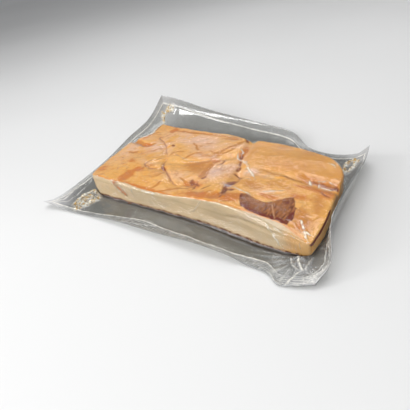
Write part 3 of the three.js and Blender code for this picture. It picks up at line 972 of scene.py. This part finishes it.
class Shade:
    """Builds one node material."""

    def __init__(self, name):
        self.material = bpy.data.materials.new(name)
        self.material.use_nodes = True
        self.tree = self.material.node_tree
        self.tree.nodes.clear()
        coordinates = self.node("ShaderNodeTexCoord").outputs["Object"]
        scale = {"Vector": coordinates, "Scale": (1000, 1000, 1000)}
        self.place = self.node("ShaderNodeMapping", scale).outputs["Vector"]

    def node(self, kind, inputs=None, **options):
        """A node. An input is a socket, a value or the name of one of the mesh's attributes."""
        made = self.tree.nodes.new(kind)
        for key, value in options.items():
            setattr(made, key, value)
        for key, value in (inputs or {}).items():
            if isinstance(value, str):
                value = self.node("ShaderNodeAttribute", attribute_name=value).outputs["Fac"]
            if isinstance(value, bpy.types.NodeSocket):
                self.tree.links.new(value, made.inputs[key])
            else:
                made.inputs[key].default_value = value
        return made

    def noise(self, size, detail=3.0, roughness=0.5, stretch=(1, 1, 1), turn=0, swirl=0.0):
        """Noise from 0 to 1, about size millimetres across, squeezed along axes turned by some degrees."""
        inputs = {
            "Vector": self.place,
            "Rotation": (0, 0, math.radians(turn)),
            "Scale": tuple(size / squeeze for squeeze in stretch),
        }
        place = self.node("ShaderNodeMapping", inputs, vector_type="TEXTURE").outputs["Vector"]
        inputs = {"Vector": place, "Scale": 1.0, "Detail": detail, "Roughness": roughness}
        return self.node("ShaderNodeTexNoise", {**inputs, "Distortion": swirl}).outputs["Fac"]

    def maths(self, operation, first, second=0.5, third=0.5, clamp=False):
        inputs = {0: first, 1: second, 2: third}
        return self.node("ShaderNodeMath", inputs, operation=operation, use_clamp=clamp).outputs[0]

    def times(self, first, second):
        return self.maths("MULTIPLY", first, second)

    def plus(self, first, second):
        return self.maths("ADD", first, second)

    def less_than_whole(self, value):
        return self.maths("SUBTRACT", 1.0, value)

    def sum(self, *values):
        """The sum of several values and (value, factor) pairs, kept between 0 and 1."""
        total = 0.0
        for value in values:
            total = self.plus(self.times(*value) if isinstance(value, tuple) else value, total)
        return self.maths("ADD", total, 0.0, clamp=True)

    def between(self, value, low, high, to_low=0.0, to_high=1.0):
        """The value brought from low..high to to_low..to_high, with soft ends."""
        inputs = {"Value": value, "From Min": low, "From Max": high, "To Min": to_low, "To Max": to_high}
        made = self.node("ShaderNodeMapRange", inputs, interpolation_type="SMOOTHSTEP")
        return made.outputs["Result"]

    def mix(self, share, first, second):
        """The first colour turned towards the second by a share."""
        inputs = {"Factor": share}
        for key, colour in ((6, first), (7, second)):
            inputs[key] = (*colour, 1) if isinstance(colour, tuple) else colour
        return self.node("ShaderNodeMix", inputs, data_type="RGBA").outputs[2]

    def tinted(self, colour, tint, value, low, high, most=1.0):
        """The colour turned towards the tint, by most of it where the value has come from low to high."""
        return self.mix(self.between(value, low, high, 0.0, most), colour, tint)

    def bump(self, height, strength, distance):
        inputs = {"Height": height, "Strength": strength, "Distance": distance}
        return self.node("ShaderNodeBump", inputs).outputs["Normal"]

    def finish(self, shader):
        output = self.node("ShaderNodeOutputMaterial")
        self.tree.links.new(shader, output.inputs["Surface"])
        return self.material


GOLD = (0.80, 0.40, 0.09)
PALE_GOLD = (0.84, 0.47, 0.14)
PAINTED_SHEEN_TONE = (0.84, 0.54, 0.36)
AMBER = (0.58, 0.235, 0.045)
ORANGE = (0.62, 0.19, 0.027)
BROWN = (0.30, 0.085, 0.03)
DARK_BROWN = (0.14, 0.035, 0.022)
VEIN = (0.44, 0.19, 0.10)
CREAM = (0.66, 0.50, 0.31)
GREY_CREAM = (0.58, 0.45, 0.285)
CORNER_GOLD = (0.62, 0.33, 0.09)
TAN = (0.34, 0.20, 0.10)
FOOT_BROWN = (0.12, 0.045, 0.025)
FOOT_SHADE = (0.045, 0.036, 0.028)
DARK_LEAN = (0.14, 0.036, 0.010)
LEAN = (0.45, 0.165, 0.042)
RED_LEAN = (0.17, 0.022, 0.012)
LEAN_FAT = (0.60, 0.30, 0.13)
RED_RIM = (0.14, 0.022, 0.016)
CUT_GRAIN = (0.78, 0.66, 0.47)
SEAM = (0.42, 0.32, 0.17)

# The film's haze, where it lies on the fat and in the margin, and what passes through it. The haze also
# carries painted highlights, sheen and reflections.
SKIN_HAZE = (0.86, 0.76, 0.76)
SKIN_FOLD_HIGHLIGHT = (0.96, 0.90, 0.76)
SKIN_AMBER = (0.48, 0.17, 0.05)
SKIN_CLEAR = (0.985, 0.98, 0.97)
MARGIN_HAZE = (0.56, 0.575, 0.585)
MARGIN_TIP = (0.80, 0.80, 0.82)
MARGIN_CREST_HIGHLIGHT = (0.90, 0.865, 0.775)
MOUND_WHITE_HIGHLIGHT = (0.95, 0.92, 0.80)
MOUND_GOLD_REFLECTION = (0.62, 0.38, 0.10)
MARGIN_CLEAR = (0.64, 0.64, 0.62)
FLOOR_TONES = (0.76, 0.76, 0.755), (0.80, 0.80, 0.795)

FACE_ON_GLOSS = 0.06  # the share of light that both faces of the film mirror, seen face on
SLANT_POWER = 5.0  # how steeply that share rises towards a slant
FILM_ROUGHNESS = 0.1


def crust_colour(shade):
    """Gold crust with painted sheen and painted shade in its folds, notch and groove; stains, pores, specks,
    veins, marks.
    """
    folded = shade.less_than_whole("pores")
    tone = shade.sum((shade.noise(30, 4), 0.5), (shade.noise(8, 4, 0.6), 0.5))
    colour = shade.tinted(GOLD, PALE_GOLD, tone, 0.38, 0.62)
    # Painted sheen: a lighter, pinker tone in patches where the film's reflection is painted in.
    sheen_patchiness = shade.between(shade.noise(20, 5, 0.6, (0.6, 1.15, 1), WRINKLE_TURN, 0.6), 0.36, 0.50)
    colour = shade.mix(shade.sum((shade.times(sheen_patchiness, "painted_sheen"), 0.9)), colour, PAINTED_SHEEN_TONE)
    wrinkled = shade.between(shade.noise(20, 4, 0.6, (0.6, 1.2, 1), WRINKLE_TURN, 0.5), 0.52, 0.66)
    broad = shade.between(shade.noise(34, 2, 0.5), 0.42, 0.60, 0.2, 1.0)
    wrinkled = shade.times(shade.times(wrinkled, broad), folded)
    # Painted shade: amber along the folds and in the wrinkles' creases.
    amber = shade.sum(("amber", 1.2), (shade.noise(5, 5, 0.65), 0.42), (wrinkled, 0.30))
    colour = shade.tinted(colour, AMBER, amber, 0.36, 0.95, 0.95)
    # Smoke stains, and a painted shadow in the notch at the back left.
    stain_and_notch_shade = shade.sum("stain_and_notch_shade", (shade.noise(7, 5, 0.65), 0.9))
    colour = shade.tinted(colour, ORANGE, stain_and_notch_shade, 0.66, 1.05, 0.9)
    colour = shade.tinted(colour, ORANGE, shade.noise(21, 5, 0.7), 0.56, 0.70, 0.35)
    pores = shade.between(shade.noise(2.6, 3, 0.7, (1.4, 0.6, 1)), 0.52, 0.70)
    pores = shade.sum((pores, 0.08), (shade.times(pores, "pores"), 0.20))
    colour = shade.mix(pores, colour, BROWN)
    deeper = shade.between(shade.noise(34, 5, 0.6), 0.36, 0.62, 0.20, 0.55)
    colour = shade.mix(shade.times(deeper, "pores"), colour, AMBER)
    mottling = shade.noise(4.5, 5, 0.7, (0.7, 1.2, 1), WRINKLE_TURN)
    colour = shade.tinted(colour, AMBER, mottling, 0.50, 0.66, 0.30)
    colour = shade.tinted(colour, BROWN, shade.noise(5.5, 2, 0.4), 0.72, 0.76, 0.5)
    vein = shade.sum("vein", (shade.noise(5, 3), 0.3))
    colour = shade.tinted(colour, VEIN, vein, 0.40, 0.95, 0.8)
    # Brown marks, with painted shade in the groove at the right.
    brown = shade.plus("brown", shade.times(shade.noise(3.4, 4, 0.7), 0.55))
    colour = shade.tinted(colour, BROWN, brown, 0.52, 0.82, 0.9)
    return shade.tinted(colour, DARK_BROWN, brown, 1.0, 1.35)


def cut_fat_colour(shade):
    """Cloudy cream with a seam below the roll of fat, golden at the ends, and a brown line at its foot."""
    clouds = shade.noise(26, 4, 0.55, (0.6, 1, 1.5))
    colour = shade.tinted(GREY_CREAM, CREAM, clouds, 0.36, 0.66)
    colour = shade.tinted(colour, CUT_GRAIN, shade.noise(3.4, 3, 0.6, (0.5, 1, 1.8)), 0.4, 0.7, 0.14)
    layer = shade.plus("layers", shade.times(clouds, 4.0))
    seam = shade.times(shade.between(layer, 0.4, 2.2), shade.between(layer, 4.4, 2.4))
    colour = shade.mix(shade.times(seam, 0.35), colour, SEAM)
    height = shade.plus("height", shade.times(shade.noise(9, 3, 0.6), 5.0))
    colour = shade.tinted(colour, TAN, height, 8.2, 5.4, 0.75)
    golden = shade.sum("corner", (shade.noise(8, 4, 0.6), 0.5))
    colour = shade.tinted(colour, CORNER_GOLD, golden, 0.4, 1.0, 0.75)
    broken = shade.between(shade.noise(6, 3, 0.6, (1, 0.3, 0.3)), 0.40, 0.54, 0.2, 1.0)
    return shade.mix(shade.times(shade.between(height, 6.6, 5.4), broken), colour, FOOT_BROWN)


def lean_colour(shade):
    """Brown fibres, redder in places, with streaks of fat."""
    colour = shade.tinted(DARK_LEAN, LEAN, shade.noise(2.3, 4, 0.6, (1.7, 0.3, 1)), 0.36, 0.64)
    red = shade.sum("lean_red", (shade.noise(4, 4, 0.6), 0.5))
    colour = shade.tinted(colour, RED_LEAN, red, 0.45, 0.95, 0.9)
    streak = shade.sum("lean_fat", (shade.noise(4, 4, 0.6), 0.4))
    return shade.tinted(colour, LEAN_FAT, streak, 0.50, 0.95, 0.75)


def fat_material():
    shade = Shade("smoked_fat")
    cut = shade.plus("cut_depth", shade.times(shade.noise(4, 3), 2.2))
    orange_edge = shade.times(shade.between(cut, -2.2, 0.4), shade.between(cut, 1.6, 1.0))
    crust = shade.mix(shade.times(orange_edge, 0.6), crust_colour(shade), ORANGE)
    colour = shade.tinted(crust, cut_fat_colour(shade), cut, 0.9, 1.7)
    edge = shade.plus("lean_depth", shade.times(shade.noise(3, 3), 2.0))
    colour = shade.tinted(colour, lean_colour(shade), edge, 0.7, 1.5)
    colour = shade.tinted(colour, RED_RIM, "red_rim", 0.35, 0.75)
    inputs = {
        "Base Color": colour,
        "Normal": shade.bump(shade.noise(1.3, 4, 0.6), 0.3, 0.0006),
        "Roughness": 0.5,
        "Specular IOR Level": 0.1,
        "Subsurface Weight": 0.1,
        "Subsurface Radius": (0.008, 0.004, 0.002),
        "Subsurface Scale": 0.4,
    }
    return shade.finish(shade.node("ShaderNodeBsdfPrincipled", inputs).outputs["BSDF"])


def film_shader(shade, haze, haze_colour, clear_colour, normal):
    """Clear film with a share of whitish haze. It mirrors more at a slant, and nothing where it is dull."""
    clear = shade.node("ShaderNodeBsdfTransparent", {"Color": (*clear_colour, 1)})
    inputs = {"Color": (1, 1, 1, 1), "Roughness": FILM_ROUGHNESS, "Normal": normal}
    gloss = shade.node("ShaderNodeBsdfGlossy", inputs)
    facing = shade.node("ShaderNodeLayerWeight", {"Blend": 0.5, "Normal": normal}).outputs["Facing"]
    slant = shade.maths("POWER", facing, SLANT_POWER)
    mirrored = shade.maths("MULTIPLY_ADD", slant, 1 - FACE_ON_GLOSS, FACE_ON_GLOSS)
    mirrored = shade.times(mirrored, shade.less_than_whole("dull"))
    sheet = shade.node("ShaderNodeMixShader", {0: mirrored, 1: clear.outputs[0], 2: gloss.outputs[0]})
    inputs = {"Base Color": haze_colour, "Roughness": 0.3, "Normal": normal}
    veil = shade.node("ShaderNodeBsdfPrincipled", inputs)
    whole = shade.node("ShaderNodeMixShader", {0: haze, 1: sheet.outputs[0], 2: veil.outputs["BSDF"]})
    return whole.outputs[0]


def skin_material():
    shade = Shade("film_on_fat")
    # Painted highlights and sheen: whitish haze on the fold crests, sheen in patches and in thin streaks.
    broken = shade.between(shade.noise(5, 3), 0.36, 0.56, 0.25, 1.0)
    fold = shade.times(shade.between("fold", 0.25, 1.1, 0.0, 0.8), broken)
    patchy = shade.between(shade.noise(9, 5, 0.65, (0.45, 1.3, 1), WRINKLE_TURN), 0.40, 0.56)
    sheen = shade.times("sheen", patchy)
    streak = shade.times("stretch", shade.between(shade.noise(20, 2), 0.45, 0.6))
    haze = shade.sum(fold, (sheen, 0.22), (streak, 0.12), ("foot", 0.85))
    colour = shade.tinted(SKIN_HAZE, SKIN_FOLD_HIGHLIGHT, "fold", 0.15, 0.55)
    colour = shade.mix("amber", colour, SKIN_AMBER)
    colour = shade.mix("foot", colour, FOOT_SHADE)
    normal = shade.bump(shade.noise(3.2, 4, 0.55), 0.5, 0.0005)
    return shade.finish(film_shader(shade, haze, colour, SKIN_CLEAR, normal))


def margin_material():
    shade = Shade("sealed_film")
    cloud = shade.between(shade.noise(26, 4, 0.6), 0.35, 0.7, 0.04, 0.14)
    crinkled = shade.between(shade.noise(3.4, 4, 0.7), 0.40, 0.56, 0.1, 1.0)
    mound = shade.times("mound", crinkled)
    worn = shade.between(shade.noise(5, 4, 0.6), 0.36, 0.60, 0.35, 1.0)
    crest = shade.times("crest", worn)
    # Painted highlights as haze on crests, crumples and gathers; painted shadow at the foot.
    haze = shade.sum(
        cloud, ("seal", 0.14), (crest, 0.8), ("brink", 0.5), ("tip", 0.25),
        ("gather", 0.25), (mound, 0.55), ("crumple", 0.4), ("foot", 0.8),
    )
    colour = shade.mix("tip", MARGIN_HAZE, MARGIN_TIP)
    colour = shade.mix("crest", colour, MARGIN_CREST_HIGHLIGHT)
    # Painted reflections: bunched film in white highlights and gold mirrored from the fat.
    bunched = shade.tinted(MOUND_WHITE_HIGHLIGHT, MOUND_GOLD_REFLECTION, shade.noise(4.4, 3, 0.6), 0.44, 0.58)
    colour = shade.mix(shade.sum(("mound", 1.4)), colour, bunched)
    # Painted shadow beside the slab's foot.
    colour = shade.mix("foot", colour, FOOT_SHADE)
    normal = shade.bump(shade.noise(9, 3), 0.25, 0.0008)
    return shade.finish(film_shader(shade, haze, colour, MARGIN_CLEAR, normal))


def floor_material():
    shade = Shade("floor")
    colour = shade.tinted(*FLOOR_TONES, shade.noise(900, 2), 0.3, 0.7)
    principled = shade.node("ShaderNodeBsdfPrincipled", {"Base Color": colour, "Roughness": 0.75})
    return shade.finish(principled.outputs["BSDF"])


# --- Stage, lights and camera ---

FLOOR_HALF = 8.0
FLOOR_DROP = 0.0003  # keeps the floor clear of the film's flat underside
WORLD_COLOUR = (0.97, 0.98, 1.0, 1)
WORLD_STRENGTH = 0.3
# Soft lights that face the pack: name, place, size and watts.
LIGHTS = (
    ("ceiling", (0.0, 0.25, 1.5), (1.1, 1.1), 10),
    ("front", (0.0, -1.5, 0.85), (1.3, 0.8), 13),
    ("left_front", (-0.85, -1.0, 0.75), (0.5, 0.35), 7),
    ("right_fill", (1.5, -0.2, 0.7), (0.6, 0.6), 2),
    ("left_strip", (-0.91, 0.98, 1.49), (1.0, 0.06), 2.0),
    ("back_strip", (-0.5, 1.3, 0.95), (0.9, 0.05), 0.9),
    ("right_strip", (0.5, 1.2, 1.3), (0.06, 0.9), 1.2),
)


def make_floor():
    mesh = bpy.data.meshes.new("floor")
    corners = [(x * FLOOR_HALF, y * FLOOR_HALF, 0) for x, y in ((-1, -1), (1, -1), (1, 1), (-1, 1))]
    mesh.from_pydata(corners, [], [(0, 1, 2, 3)])
    floor = bpy.data.objects.new("floor", mesh)
    floor.location.z = -FLOOR_DROP
    bpy.context.scene.collection.objects.link(floor)
    floor.data.materials.append(floor_material())


def make_light(name, place, size, watts):
    lamp = bpy.data.lights.new(name, "AREA")
    lamp.shape = "RECTANGLE"
    lamp.size, lamp.size_y = size
    lamp.energy = watts
    light = bpy.data.objects.new(name, lamp)
    light.location = place
    light.rotation_euler = (-Vector(place)).to_track_quat("-Z", "Y").to_euler()
    bpy.context.scene.collection.objects.link(light)


def make_world():
    world = bpy.data.worlds.new("studio")
    world.use_nodes = True
    background = world.node_tree.nodes["Background"]
    background.inputs["Color"].default_value = WORLD_COLOUR
    background.inputs["Strength"].default_value = WORLD_STRENGTH
    bpy.context.scene.world = world


def make_camera():
    azimuth, elevation, roll = map(math.radians, (CAMERA_AZIMUTH, CAMERA_ELEVATION, CAMERA_ROLL))
    level = Vector((math.cos(azimuth), math.sin(azimuth), 0))
    across, onward = -math.sin(azimuth), math.cos(azimuth)
    ahead = Vector((across * math.cos(elevation), onward * math.cos(elevation), -math.sin(elevation)))
    upright = level.cross(ahead)
    right = level * math.cos(roll) - upright * math.sin(roll)
    up = right.cross(ahead)
    data = bpy.data.cameras.new("camera")
    data.lens = CAMERA_LENS
    data.sensor_width = CAMERA_SENSOR
    camera = bpy.data.objects.new("camera", data)
    turn = Matrix((right, up, -ahead)).transposed().to_4x4()
    camera.matrix_world = Matrix.Translation(Vector(CAMERA_PLACE) * MM) @ turn
    bpy.context.scene.collection.objects.link(camera)
    bpy.context.scene.camera = camera


make_camera()
make_world()
make_floor()
for light in LIGHTS:
    make_light(*light)

for piece, slot in (
    (make_fatback(), "smoked_fat"),
    (make_film_skin(), "clear_film"),
    (make_film_margin(), "clear_film"),
):
    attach(piece, "root")
    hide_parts("vacuum_pack")

bpy.context.scene.view_settings.view_transform = "Standard"
